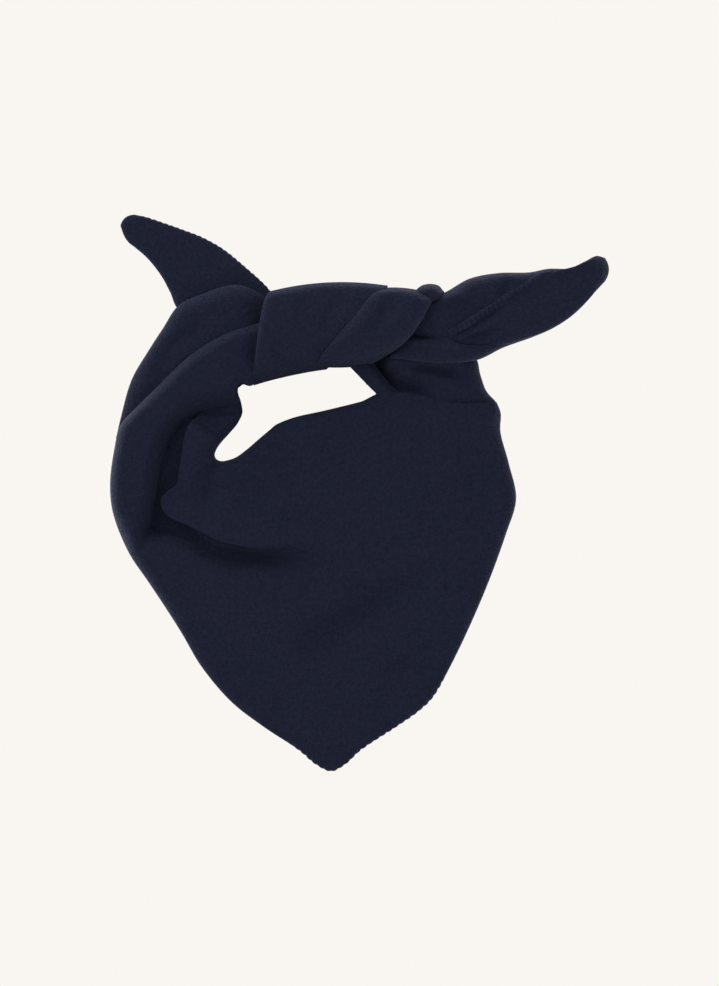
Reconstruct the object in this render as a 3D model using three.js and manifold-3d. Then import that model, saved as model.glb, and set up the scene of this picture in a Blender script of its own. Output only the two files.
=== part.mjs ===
// A small cashmere shawl: one triangle of soft jersey knit, tied end over end at the nape and laid
// flat. Its point lies towards -Y and its knot towards +Y, and the outer face of the cloth looks up.
// Each stretch of the cloth that shows is a solid of its own, with the layers folded away inside it.
// A solid is a grid in plan, lifted to the height that the cloth has there, rounded over at its rim,
// grooved round its side between the upper and the lower layer, and level underneath.
import * as THREE from "three";
import { mergeVertices } from "three/addons/utils/BufferGeometryUtils.js";
import Module from "manifold-3d";

// Sizes in millimetres. The triangle was knitted 860 along its long edge and 340 deep.
const clothThickness = 2.2;
const seamGap = 0.36; // how far a stretch stands off the one that lies over it
const layerGroove = 1.6; // depth of the groove between two folded layers
const oneLayer = 3; // a solid this low is a single layer, with no groove
const twoLayers = 8; // a solid this high has the whole groove
const cornerReach = 9; // the groove dies away this near a corner
const navy = 0x1d2030;

const { smoothstep, clamp } = THREE.MathUtils;
const wasm = await Module();
wasm.setup();

// ---------------------------------------------------------------- folds

// The nearest place on a path of [x, y] points: how far along it lies, from 0 to 1, and how far off,
// positive to the left of the path.
function nearestOnPath(path, x, y) {
  const lengths = path.slice(1).map((end, i) => Math.hypot(end[0] - path[i][0], end[1] - path[i][1]));
  const whole = lengths.reduce((sum, length) => sum + length, 0);
  let nearest = { off: Infinity, along: 0 };
  let before = 0;
  lengths.forEach((length, i) => {
    const [startX, startY] = path[i];
    const [unitX, unitY] = [(path[i + 1][0] - startX) / length, (path[i + 1][1] - startY) / length];
    const [fromX, fromY] = [x - startX, y - startY];
    const reached = clamp(fromX * unitX + fromY * unitY, 0, length);
    const off = Math.hypot(fromX - reached * unitX, fromY - reached * unitY);
    if (off < Math.abs(nearest.off)) {
      const side = unitX * fromY - unitY * fromX < 0 ? -1 : 1;
      nearest = { off: side * off, along: (before + reached) / whole };
    }
    before += length;
  });
  return nearest;
}

// What the folds add to the height of the cloth at a place. A fold is a bell across its path. A lap
// climbs over a few millimetres at its path and dies away on the left of it.
function foldHeight(folds, x, y) {
  const lapEdge = 6;
  let height = 0;
  for (const { path, rise, width, fadeIn = 0.3, fadeOut = 0.3, lap = false } of folds) {
    const { off, along } = nearestOnPath(path, x, y);
    const taper = smoothstep(along, 0, fadeIn) * smoothstep(1 - along, 0, fadeOut);
    const bell = Math.exp(-((lap ? Math.max(off, 0) / width : off / width) ** 2));
    height += rise * taper * bell * (lap ? smoothstep(off, -lapEdge, lapEdge) : 1);
  }
  return height;
}

// ---------------------------------------------------------------- from plan to solid

// Places between four edges, as a Coons patch: top and bottom run from left to right, left and right
// run from top to bottom. The lines lie closer together near the edges, where the cloth turns over.
function blendedGrid({ top, bottom, left, right }, columns, lines) {
  const crowded = (share) => 0.5 * share + 0.5 * (0.5 - 0.5 * Math.cos(Math.PI * share));
  const places = [];
  for (let j = 0; j <= lines; j += 1) {
    const v = crowded(j / lines);
    for (let i = 0; i <= columns; i += 1) {
      const u = crowded(i / columns);
      const place = new THREE.Vector3()
        .addScaledVector(top(u), 1 - v)
        .addScaledVector(bottom(u), v)
        .addScaledVector(left(v), 1 - u)
        .addScaledVector(right(v), u)
        .addScaledVector(top(0), (u - 1) * (1 - v))
        .addScaledVector(top(1), -u * (1 - v))
        .addScaledVector(bottom(0), (u - 1) * v)
        .addScaledVector(bottom(1), -u * v);
      places.push({ x: place.x, y: place.y, v });
    }
  }
  return places;
}

// The grid's rim as a closed walk round its four sides.
function rimOf(columns, lines) {
  const at = (i, j) => j * (columns + 1) + i;
  const rim = [];
  for (let j = 0; j < lines; j += 1) rim.push(at(0, j));
  for (let i = 0; i < columns; i += 1) rim.push(at(i, lines));
  for (let j = lines; j > 0; j -= 1) rim.push(at(columns, j));
  for (let i = columns; i > 0; i -= 1) rim.push(at(i, 0));
  return rim;
}

// Where the side stands below the rim, as a share of the cloth's height, and how much of the groove
// it is set back there. The last row is the edge of the level underside.
const sideRows = [
  { share: 0.36, setBack: 1 },
  { share: 0.2, setBack: 0.2 },
  { share: 0, setBack: 0.8 },
];

// The closed shape over a grid: height gives how high the cloth stands at a place, and roundness how
// far in from the rim it takes to reach that height, as a share of it. The rim runs anticlockwise
// as seen from above. Each square of the grid is split along its more level diagonal.
function clothShape({ places, columns, lines, height, roundness }) {
  const rim = rimOf(columns, lines);
  const outline = [...rim, rim[0]].map((k) => [places[k].x, places[k].y]);
  const points = places.map((place) => {
    const full = height(place);
    const off = Math.abs(nearestOnPath(outline, place.x, place.y).off);
    const inwards = Math.min(off / (roundness * full), 1);
    return new THREE.Vector3(place.x, place.y, full * (0.5 + 0.5 * Math.sqrt(1 - (1 - inwards) ** 2)));
  });
  const triangles = [];
  for (let j = 0; j < lines; j += 1) {
    for (let i = 0; i < columns; i += 1) {
      const corner = j * (columns + 1) + i;
      const below = corner + columns + 1;
      const falls = Math.abs(points[corner].z - points[below + 1].z);
      const rises = Math.abs(points[below].z - points[corner + 1].z);
      if (falls < rises) triangles.push(corner, below, below + 1, corner, below + 1, corner + 1);
      else triangles.push(corner, below, corner + 1, below, below + 1, corner + 1);
    }
  }

  const corners = [places[0], places[columns], places[lines * (columns + 1)], places.at(-1)];
  let upper = rim;
  for (const { share, setBack } of sideRows) {
    const lower = rim.map((k, n) => {
      const [before, after] = [outline[(n + rim.length - 1) % rim.length], outline[n + 1]];
      const outward = new THREE.Vector3(after[1] - before[1], before[0] - after[0], 0).normalize();
      const full = height(places[k]);
      const toCorner = Math.min(...corners.map((c) => Math.hypot(c.x - places[k].x, c.y - places[k].y)));
      const groove = 0.2 + layerGroove * setBack * smoothstep(full, oneLayer, twoLayers);
      const depth = groove * smoothstep(toCorner, 0, cornerReach);
      const place = new THREE.Vector3(places[k].x, places[k].y, full * share);
      return points.push(place.addScaledVector(outward, -depth)) - 1;
    });
    rim.forEach((_, n) => {
      const next = (n + 1) % rim.length;
      triangles.push(upper[next], upper[n], lower[n], upper[next], lower[n], lower[next]);
    });
    upper = lower;
  }
  const underside = upper.map((k) => new THREE.Vector2(points[k].x, points[k].y));
  for (const [a, b, c] of THREE.ShapeUtils.triangulateShape(underside, [])) {
    triangles.push(upper[c], upper[b], upper[a]);
  }

  const geometry = new THREE.BufferGeometry().setFromPoints(points);
  geometry.setIndex(triangles);
  geometry.computeVertexNormals();
  return geometry;
}

// A closed shape as a solid, its skin moved out by a little if grow is given.
function solidOf(shape, grow = 0) {
  const bare = shape.clone();
  const { position, normal } = bare.attributes;
  for (let i = 0; i < position.count; i += 1) {
    const moved = new THREE.Vector3().fromBufferAttribute(normal, i).multiplyScalar(grow);
    moved.add(new THREE.Vector3().fromBufferAttribute(position, i));
    position.setXYZ(i, moved.x, moved.y, moved.z);
  }
  bare.deleteAttribute("normal");
  const merged = mergeVertices(bare, 1e-4);
  return new wasm.Manifold(
    new wasm.Mesh({
      numProp: 3,
      vertProperties: merged.attributes.position.array,
      triVerts: new Uint32Array(merged.index.array),
    }),
  );
}

function shapeOf(solid) {
  const mesh = solid.getMesh();
  const geometry = new THREE.BufferGeometry();
  geometry.setAttribute("position", new THREE.BufferAttribute(mesh.vertProperties, 3));
  geometry.setIndex(new THREE.BufferAttribute(mesh.triVerts, 1));
  geometry.computeVertexNormals();
  return geometry;
}

// ---------------------------------------------------------------- the front

// The front between its outer edge, a, and its inner one, b, from under the roll to the right shoulder:
// a runs down the left fold, round the two hems and up the right fold, b along the pocket, round the
// corner of the neck opening and along the neckline.
const frontSections = [
  { ax: -122, ay: 57, bx: -83, by: 55 },
  { ax: -133, ay: 49, bx: -84.5, by: 51 },
  { ax: -141, ay: 40, bx: -86.5, by: 47.5 },
  { ax: -148, ay: 26, bx: -90, by: 43.5 },
  { ax: -152, ay: 14, bx: -93, by: 40 },
  { ax: -155, ay: 2, bx: -96, by: 36.5 },
  { ax: -157, ay: -10, bx: -98.6, by: 33 },
  { ax: -161, ay: -21, bx: -100.4, by: 29.6 },
  { ax: -164, ay: -30, bx: -101.2, by: 27 },
  { ax: -160, ay: -45, bx: -101, by: 25 },
  { ax: -149, ay: -61, bx: -100.2, by: 23.6 },
  { ax: -137, ay: -79, bx: -98.5, by: 22.6 },
  { ax: -125, ay: -98, bx: -96, by: 22.3 },
  { ax: -111.5, ay: -121, bx: -92.5, by: 23 },
  { ax: -91, ay: -145.5, bx: -87, by: 25 },
  { ax: -68, ay: -163.5, bx: -80, by: 30 },
  { ax: -43, ay: -180, bx: -73, by: 36 },
  { ax: -31, ay: -190, bx: -69, by: 39.5 },
  { ax: -20.5, ay: -194.6, bx: -66, by: 42 },
  { ax: -11, ay: -190, bx: -63, by: 44.5 },
  { ax: 0, ay: -180, bx: -59, by: 47.8 },
  { ax: 25, ay: -163.5, bx: -49, by: 52 },
  { ax: 40, ay: -153, bx: -42, by: 54 },
  { ax: 50, ay: -143.5, bx: -36, by: 55.3 },
  { ax: 63, ay: -121, bx: -28, by: 57 },
  { ax: 86, ay: -71, bx: -14, by: 60.3 },
  { ax: 101.6, ay: -29, bx: -4, by: 62.8 },
  { ax: 108.8, ay: -4, bx: 2, by: 65 },
  { ax: 103.6, ay: 21, bx: 7.5, by: 67.4 },
  { ax: 97.8, ay: 43, bx: 11.5, by: 69.1 },
  { ax: 98, ay: 56, bx: 12.5, by: 69.5 },
  { ax: 95, ay: 63.5, bx: 13, by: 69.8 },
];

// Its last line, from the shoulder back to the neckline.
const frontTop = [[95, 63.5], [64, 63], [33, 70], [13, 69.8]];

// How high the cloth lies with all its layers, at named places.
const frontHeights = [
  { place: "under the roll", x: -140, y: 30, high: 9 },
  { place: "beside the roll", x: -136, y: -4, high: 9 },
  { place: "pocket by the opening", x: -98, y: 49, high: 9 },
  { place: "end of the roll", x: -160, y: -32, high: 15 },
  { place: "left fold", x: -146, y: -58, high: 14 },
  { place: "left fold, lower", x: -118, y: -102, high: 10 },
  { place: "inner fold", x: -115, y: 16, high: 21 },
  { place: "neckline, left", x: -76, y: 20, high: 18 },
  { place: "neckline, middle", x: -30, y: 46, high: 17 },
  { place: "neckline, right", x: 28, y: 58, high: 16 },
  { place: "right shoulder", x: 86, y: 50, high: 12 },
  { place: "right fold", x: 98, y: 0, high: 11 },
  { place: "right fold, lower", x: 76, y: -84, high: 9 },
  { place: "middle", x: 0, y: 0, high: 15 },
  { place: "below the lap", x: -60, y: -72, high: 11 },
  { place: "belly", x: -5, y: -115, high: 8.5 },
  { place: "left hem corner", x: -84, y: -140, high: 6 },
  { place: "right hem corner", x: 43, y: -138, high: 6 },
  { place: "above the point", x: -20, y: -162, high: 4.5 },
  { place: "left hem", x: -56, y: -171, high: 2.8 },
  { place: "right hem", x: 13, y: -171, high: 2.8 },
  { place: "point", x: -20, y: -191, high: 2.6 },
];

// The large folds of the front. A trough has a rise below zero.
const frontFolds = [
  {
    fold: "crest of the inner fold",
    path: [[-112, 41], [-114, 28], [-116, 10], [-122, -10]],
    rise: 4,
    width: 9,
    fadeIn: 0.15,
    fadeOut: 0.4,
  },
  {
    fold: "trough under the corner of the opening",
    path: [[-100, 30], [-100, 12], [-96, -6]],
    rise: -5,
    width: 8,
    fadeIn: 0.1,
    fadeOut: 0.6,
  },
  {
    fold: "trough across the front",
    path: [[16, -60], [-2, -55], [-40, -47], [-82, -46], [-112, -33], [-136, -19]],
    rise: -9,
    width: 11,
    fadeIn: 0.45,
    fadeOut: 0.12,
  },
  {
    fold: "cloth that hangs over that trough",
    path: [[-134, -14], [-112, -28], [-82, -42], [-40, -41], [-2, -50], [16, -56]],
    rise: 5,
    width: 26,
    fadeIn: 0.2,
    fadeOut: 0.5,
    lap: true,
  },
  {
    fold: "ridge below that trough",
    path: [[-112, -66], [-62, -74], [-18, -70], [14, -62]],
    rise: 3.5,
    width: 15,
  },
  {
    fold: "soft trough over the belly",
    path: [[-48, -108], [-18, -101], [4, -90], [26, -70], [38, -48]],
    rise: -4,
    width: 12,
    fadeIn: 0.3,
    fadeOut: 0.35,
  },
];

// The height of the front at a place: the named heights, each weighed by how near it is, and the
// folds, but never less than one thickness of cloth.
function frontHeight({ x, y }) {
  const reach = 14;
  let sum = 0;
  let weights = 0;
  for (const named of frontHeights) {
    const weight = ((named.x - x) ** 2 + (named.y - y) ** 2 + reach ** 2) ** -2;
    sum += weight * named.high;
    weights += weight;
  }
  return Math.max(sum / weights + foldHeight(frontFolds, x, y), clothThickness);
}

function frontShape() {
  const [columns, lines] = [36, 72];
  const outerShare = 0.7; // how near the outer edge the lines are evenly spaced
  const through = (points) => new THREE.CatmullRomCurve3(points.map(([x, y]) => new THREE.Vector3(x, y, 0)));
  const edgeA = through(frontSections.map((s) => [s.ax, s.ay]));
  const edgeB = through(frontSections.map((s) => [s.bx, s.by]));
  const between = (a, b) => b + outerShare * (a - b);
  const spacing = through(frontSections.map((s) => [between(s.ax, s.bx), between(s.ay, s.by)]));
  const lastLine = through(frontTop);
  const edges = {
    top: (u) => edgeA.getPoint(0).lerp(edgeB.getPoint(0), u),
    bottom: (u) => lastLine.getPointAt(u),
    left: (v) => edgeA.getPoint(spacing.getUtoTmapping(v)),
    right: (v) => edgeB.getPoint(spacing.getUtoTmapping(v)),
  };
  const places = blendedGrid(edges, columns, lines);
  return clothShape({ places, columns, lines, height: frontHeight, roundness: 0.8 });
}

// ---------------------------------------------------------------- the other stretches

// A stretch between two edges, a and b, through a table of sections: where each edge is in plan and
// how high the cloth stands between them. Seen from the first section, a is on the right. bows is
// how far the first and the last line of it swell out.
function stretchShape({ sections, bows = [0, 0], folds = [], columns, lines, roundness }) {
  const edgeA = new THREE.CatmullRomCurve3(sections.map((s) => new THREE.Vector3(s.ax, s.ay, s.high)));
  const edgeB = new THREE.CatmullRomCurve3(sections.map((s) => new THREE.Vector3(s.bx, s.by, s.high)));
  const endLine = (share, bow) => {
    const [a, b] = [edgeA.getPoint(share).setZ(0), edgeB.getPoint(share).setZ(0)];
    const swell = new THREE.Vector3(a.y - b.y, b.x - a.x, 0).normalize().multiplyScalar(bow);
    return (u) => a.clone().lerp(b, u).addScaledVector(swell, 4 * u * (1 - u));
  };
  const edges = {
    top: endLine(0, bows[0]),
    bottom: endLine(1, -bows[1]),
    left: (v) => edgeA.getPoint(v).setZ(0),
    right: (v) => edgeB.getPoint(v).setZ(0),
  };
  const places = blendedGrid(edges, columns, lines);
  const height = ({ x, y, v }) => Math.max(edgeA.getPoint(v).z + foldHeight(folds, x, y), clothThickness);
  return clothShape({ places, columns, lines, height, roundness });
}

const knotWrapRight = {
  // from the top of the knot down to the neck opening
  sections: [
    { ax: 13.5, ay: 143, bx: 42, by: 141.5, high: 17 },
    { ax: 8.5, ay: 138, bx: 47, by: 136, high: 29 },
    { ax: 0, ay: 126.5, bx: 45.5, by: 126, high: 38 },
    { ax: -8.5, ay: 115.2, bx: 41, by: 117, high: 42 },
    { ax: -16, ay: 106.5, bx: 35, by: 110, high: 42 },
    { ax: -23, ay: 98, bx: 27, by: 101, high: 37 },
    { ax: -27, ay: 91.5, bx: 18, by: 93.5, high: 29 },
    { ax: -27.9, ay: 88, bx: 11, by: 88.5, high: 18 },
  ],
  bows: [2, 2],
  folds: [
    { fold: "gather", path: [[24, 138], [16, 120], [2, 104]], rise: -2.5, width: 5 },
    {
      fold: "gather",
      path: [[38, 132], [32, 116], [14, 98]],
      rise: -2,
      width: 4,
      fadeIn: 0.2,
      fadeOut: 0.4,
    },
  ],
  columns: 16,
  lines: 18,
  roundness: 0.3,
};

const knotWrapLeft = {
  // from the top of the knot down to the neck opening, b under the other turn
  sections: [
    { ax: -63.5, ay: 140.5, bx: 19, by: 144.5, high: 14 },
    { ax: -66.5, ay: 135, bx: 18, by: 139, high: 25 },
    { ax: -69, ay: 125, bx: 12, by: 128, high: 33 },
    { ax: -71, ay: 113, bx: 4, by: 116, high: 37 },
    { ax: -72.5, ay: 101, bx: -6, by: 104, high: 36 },
    { ax: -74, ay: 88, bx: -14, by: 95, high: 31 },
    { ax: -75.2, ay: 79, bx: -20, by: 89, high: 22 },
    { ax: -74.5, ay: 74.5, bx: -24, by: 85.5, high: 14 },
  ],
  bows: [4.3, -1.5],
  folds: [
    { fold: "gather", path: [[-42, 138], [-36, 118], [-40, 96]], rise: -2.5, width: 6, fadeOut: 0.4 },
    { fold: "gather", path: [[-10, 140], [-20, 120], [-34, 102]], rise: -2, width: 5, fadeOut: 0.4 },
  ],
  columns: 18,
  lines: 16,
  roundness: 0.3,
};

const knotFold = {
  // from the knot to the right, a towards -Y
  sections: [
    { ax: 38, ay: 132, bx: 38.5, by: 142.5, high: 23 },
    { ax: 43, ay: 132, bx: 43, by: 145, high: 26 },
    { ax: 49, ay: 132, bx: 49, by: 145.4, high: 27 },
    { ax: 54.5, ay: 132, bx: 55, by: 143.4, high: 24 },
    { ax: 59, ay: 132, bx: 60, by: 139.5, high: 20 },
  ],
  columns: 8,
  lines: 10,
  roundness: 0.5,
};

const leftRoll = {
  // from under the knot, round the left side and down to the front, a on the outside
  sections: [
    { ax: -58, ay: 120, bx: -64, by: 94, high: 26 },
    { ax: -71, ay: 118.6, bx: -75, by: 79, high: 30 },
    { ax: -86, ay: 115, bx: -84.5, by: 74.5, high: 31 },
    { ax: -100, ay: 108.5, bx: -82.5, by: 64, high: 31 },
    { ax: -113, ay: 100.5, bx: -82.5, by: 54, high: 30 },
    { ax: -124, ay: 91.7, bx: -93, by: 50.5, high: 30 },
    { ax: -134, ay: 82, bx: -107, by: 49.5, high: 29.5 },
    { ax: -144, ay: 72, bx: -119, by: 46, high: 29 },
    { ax: -157, ay: 59, bx: -129, by: 38.5, high: 28 },
    { ax: -167.5, ay: 47, bx: -135, by: 26, high: 27 },
    { ax: -172, ay: 29, bx: -139, by: 12, high: 26 },
    { ax: -174.6, ay: 9, bx: -141, by: 0, high: 25 },
    { ax: -174, ay: -7, bx: -143.5, by: -11, high: 23 },
    { ax: -171, ay: -20, bx: -148, by: -20, high: 20 },
    { ax: -167, ay: -32, bx: -153, by: -28, high: 16.5 },
    { ax: -162.5, ay: -42, bx: -157, by: -36, high: 14 },
  ],
  folds: [
    {
      fold: "crease",
      path: [[-84, 90], [-112, 72], [-136, 48], [-150, 10]],
      rise: -3,
      width: 5,
      fadeIn: 0.2,
      fadeOut: 0.4,
    },
    {
      fold: "crease",
      path: [[-92, 62], [-110, 60], [-130, 47], [-141, 22]],
      rise: -3,
      width: 5,
      fadeOut: 0.4,
    },
  ],
  columns: 14,
  lines: 26,
  roundness: 0.7,
};

const leftOuterFold = {
  // from under the knot down to the left side, a on the outside, b under the roll
  sections: [
    { ax: -56, ay: 130, bx: -56, by: 110, high: 24 },
    { ax: -65, ay: 137, bx: -63, by: 110, high: 24 },
    { ax: -87, ay: 145.5, bx: -74, by: 110, high: 23 },
    { ax: -109, ay: 139.5, bx: -84, by: 107, high: 22 },
    { ax: -127, ay: 131, bx: -94, by: 100, high: 21 },
    { ax: -138, ay: 115, bx: -106, by: 92, high: 21 },
    { ax: -149, ay: 98, bx: -120, by: 80, high: 20 },
    { ax: -160, ay: 79, bx: -134, by: 66, high: 18 },
    { ax: -168, ay: 51, bx: -150, by: 50, high: 14 },
    { ax: -171, ay: 38, bx: -160, by: 40, high: 10 },
  ],
  folds: [
    { fold: "gather", path: [[-148, 78], [-126, 106], [-98, 122]], rise: -2.5, width: 5 },
  ],
  columns: 14,
  lines: 24,
  roundness: 0.6,
};

const leftTail = {
  // from the tip to under the knot, a on the lower left
  sections: [
    { ax: -168, ay: 187, bx: -158, by: 194.8, high: 3.6 },
    { ax: -165.5, ay: 180, bx: -150, by: 193, high: 4.2 },
    { ax: -162.5, ay: 175.5, bx: -138, by: 189, high: 4.6 },
    { ax: -157.5, ay: 171.5, bx: -124, by: 184, high: 5 },
    { ax: -149, ay: 164, bx: -110, by: 178.5, high: 5.5 },
    { ax: -139.5, ay: 152, bx: -96, by: 170.5, high: 6 },
    { ax: -133, ay: 140, bx: -83, by: 160, high: 7 },
    { ax: -128, ay: 129, bx: -63, by: 141, high: 8 },
    { ax: -110, ay: 118, bx: -58, by: 130, high: 8 },
  ],
  bows: [2.4, 0],
  columns: 12,
  lines: 16,
  roundness: 0.8,
};

const rightTail = {
  // from under the knot to the tip, a on the lower right
  sections: [
    { ax: 20, ay: 94, bx: 34, by: 132, high: 22 },
    { ax: 52, ay: 91, bx: 54, by: 138.5, high: 24 },
    { ax: 81.3, ay: 92.5, bx: 76, by: 149.8, high: 21 },
    { ax: 100, ay: 101.5, bx: 96, by: 154, high: 18 },
    { ax: 120, ay: 108.7, bx: 117, by: 155.6, high: 15 },
    { ax: 134, ay: 114.8, bx: 133, by: 157.6, high: 13 },
    { ax: 146, ay: 122.4, bx: 147, by: 159.6, high: 11 },
    { ax: 155, ay: 130.4, bx: 157, by: 163.6, high: 9 },
    { ax: 163, ay: 139.4, bx: 165.5, by: 166.9, high: 7.5 },
    { ax: 171, ay: 148, bx: 171.6, by: 164.6, high: 6 },
  ],
  bows: [0, 2.8],
  folds: [
    {
      fold: "ridge",
      path: [[36, 106], [50, 104], [66, 102], [90, 102]],
      rise: 2.5,
      width: 4,
      fadeIn: 0.1,
      fadeOut: 0.5,
    },
    {
      fold: "crease",
      path: [[34, 111], [48, 109], [60, 107]],
      rise: -5,
      width: 3,
      fadeIn: 0.1,
      fadeOut: 0.5,
    },
  ],
  columns: 14,
  lines: 18,
  roundness: 0.6,
};

const rightTailFlap = {
  // over the lower part of the right tail, from the knot to the tip, a on the lower right
  sections: [
    { ax: 64, ay: 96, bx: 58, by: 109.5, high: 25.5 },
    { ax: 82, ay: 95, bx: 71, by: 116, high: 24 },
    { ax: 101, ay: 104, bx: 84, by: 125, high: 21.5 },
    { ax: 120, ay: 111.5, bx: 97, by: 134, high: 19 },
    { ax: 133.5, ay: 117.5, bx: 111, by: 141.5, high: 16.5 },
    { ax: 145, ay: 125, bx: 126, by: 150.5, high: 14.5 },
    { ax: 153.5, ay: 132.5, bx: 141, by: 155, high: 12.5 },
    { ax: 161, ay: 141, bx: 155, by: 160, high: 10.5 },
    { ax: 167.5, ay: 149, bx: 166, by: 162.5, high: 9 },
  ],
  bows: [0, 2.4],
  columns: 12,
  lines: 18,
  roundness: 0.25,
};

const rightNeck = {
  // from under the knot to the right shoulder, a along the opening and the neckline
  sections: [
    { ax: -16, ay: 86, bx: -6, by: 104, high: 22 },
    { ax: -6, ay: 84, bx: 16, by: 102, high: 25 },
    { ax: 9.5, ay: 68, bx: 34, by: 100, high: 23 },
    { ax: 24, ay: 61, bx: 56, by: 98, high: 20 },
    { ax: 46, ay: 58, bx: 79, by: 97, high: 18 },
    { ax: 67, ay: 55, bx: 84.5, by: 82, high: 15.5 },
    { ax: 84, ay: 53, bx: 90, by: 70, high: 13 },
    { ax: 92, ay: 52, bx: 95, by: 62, high: 10 },
  ],
  folds: [
    { fold: "pleat", path: [[14, 88], [38, 82.8], [64, 79.5], [84, 71]], rise: 3, width: 4, fadeIn: 0.1 },
    {
      fold: "crease",
      path: [[28, 91], [45, 87.5], [58, 86], [72, 79.5]],
      rise: -4,
      width: 3,
      fadeIn: 0.2,
      fadeOut: 0.4,
    },
  ],
  columns: 14,
  lines: 14,
  roundness: 0.4,
};

// ---------------------------------------------------------------- the shawl

// What lies on top comes first. Each stretch is cut clear of all that lie over it, and keeps its
// largest body.
const stretches = [
  { name: "knot_wrap_right", shape: stretchShape(knotWrapRight) },
  { name: "knot_wrap_left", shape: stretchShape(knotWrapLeft) },
  { name: "right_tail", shape: stretchShape(rightTail) },
  { name: "right_tail_flap", shape: stretchShape(rightTailFlap) },
  { name: "knot_fold", shape: stretchShape(knotFold) },
  { name: "left_roll", shape: stretchShape(leftRoll) },
  { name: "front", shape: frontShape() },
  { name: "left_outer_fold", shape: stretchShape(leftOuterFold) },
  { name: "right_neck", shape: stretchShape(rightNeck) },
  { name: "left_tail", shape: stretchShape(leftTail) },
];

const shawl = new THREE.Group();
const liesOver = [];
for (const { name, shape } of stretches) {
  const cut = liesOver.reduce((rest, above) => rest.subtract(above), solidOf(shape));
  const [largest] = cut.decompose().sort((one, other) => other.volume() - one.volume());
  const cloth = new THREE.MeshStandardMaterial({ color: navy, roughness: 0.95, metalness: 0 });
  const mesh = new THREE.Mesh(shapeOf(largest), cloth);
  mesh.name = name;
  shawl.add(mesh);
  liesOver.push(solidOf(shape, seamGap));
}

export default shawl;
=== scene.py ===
import math

import bpy
import numpy as np
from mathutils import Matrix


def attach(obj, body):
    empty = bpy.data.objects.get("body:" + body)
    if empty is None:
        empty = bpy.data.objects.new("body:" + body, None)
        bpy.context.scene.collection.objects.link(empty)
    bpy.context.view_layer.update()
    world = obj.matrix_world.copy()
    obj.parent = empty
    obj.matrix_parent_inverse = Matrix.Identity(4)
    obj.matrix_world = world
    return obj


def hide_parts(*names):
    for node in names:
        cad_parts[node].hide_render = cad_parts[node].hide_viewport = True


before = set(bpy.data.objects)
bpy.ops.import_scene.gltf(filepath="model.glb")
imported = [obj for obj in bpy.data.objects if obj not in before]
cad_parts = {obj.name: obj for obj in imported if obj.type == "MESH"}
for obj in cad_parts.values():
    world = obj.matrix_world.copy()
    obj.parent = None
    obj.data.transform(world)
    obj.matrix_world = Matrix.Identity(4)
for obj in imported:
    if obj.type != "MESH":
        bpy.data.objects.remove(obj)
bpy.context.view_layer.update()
print("frame loaded:", len(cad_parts), "nodes")

# The kerchief lies on the table with its neckline upwards. The tables of its cloth are in millimetres, apart
# from flat and area, which are in metres and square metres.
mm = 0.001
cloth = {
    "wall": 2.0,            # one layer of the knit
    "wallShare": 0.3,       # but at most this share of the height,
    "wallFrom": 2,          # which counts as this at least
    "thinnest": 2.2,        # no stretch is lower than this inside its rim
    "floorGap": 0.25,       # underside above the table
    "press": 0.25,          # how far a stretch presses into the one on top of it
    "wale": 2.95,           # width of a stitch
    "course": 2.2,          # height of a stitch
    "uneven": (0.4, 26),    # height and length of the soft swell all over
    "swellHeights": (3, 9),     # how high the cloth is where it sets in and where it is whole
    "curveSteps": 24,       # steps of a curve for each of its points
    "rimZone": 8,           # the grid is closer this near the rim,
    "rimMost": (0.2, 0.25),     # and over at most these shares of its length and width
    "rimSteps": 9,          # grid steps in that zone
    "sharpFrom": 55,        # degrees between two faces from which on their edge is sharp
}


def knotCurve(points, shares):
    # Catmull-Rom curve through all points, knots the root of the distance apart, read at shares of its knots
    points = np.asarray(points, float)
    known = np.vstack([2 * points[0] - points[1], points, 2 * points[-1] - points[-2]])
    gap = np.sqrt(np.linalg.norm(np.diff(known, axis=0), axis=1))
    place = shares * (len(points) - 1)
    first = np.minimum(place.astype(int), len(points) - 2)
    f = (place - first)[:, None]
    p0, p1, p2, p3 = (known[first + k] for k in range(4))
    g0, g1, g2 = (gap[first + k][:, None] for k in range(3))
    m1 = ((p1 - p0) / g0 - (p2 - p0) / (g0 + g1) + (p2 - p1) / g1) * g1
    m2 = ((p2 - p1) / g1 - (p3 - p1) / (g1 + g2) + (p3 - p2) / g2) * g1
    curve = (2 * f**3 - 3 * f**2 + 1) * p1 + (f**3 - 2 * f**2 + f) * m1
    return curve + (3 * f**2 - 2 * f**3) * p2 + (f**3 - f**2) * m2


def lengthAlong(path):
    return np.append(0, np.cumsum(np.linalg.norm(np.diff(path, axis=0), axis=1)))


def smoothPath(points, shares):
    # the same curve, read at shares of its length
    curve = knotCurve(points, np.linspace(0, 1, cloth["curveSteps"] * len(points)))
    length = lengthAlong(curve)
    return np.stack([np.interp(shares * length[-1], length, c) for c in curve.T], axis=-1)


def smoothStep(value, low, high):
    t = np.clip((value - low) / (high - low), 0, 1)
    return t * t * (3 - 2 * t)


def crowded(count, rimShare):
    # shares from 0 to 1, with short steps over rimShare at either end that shrink as on a quarter circle
    steps = cloth["rimSteps"]
    arc = rimShare * (1 - np.cos(np.linspace(0, math.pi / 2, steps + 1)))
    middle = np.linspace(rimShare, 1 - rimShare, count - 2 * steps)
    return np.concatenate([arc[:-1], middle, 1 - arc[-2::-1]])


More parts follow.
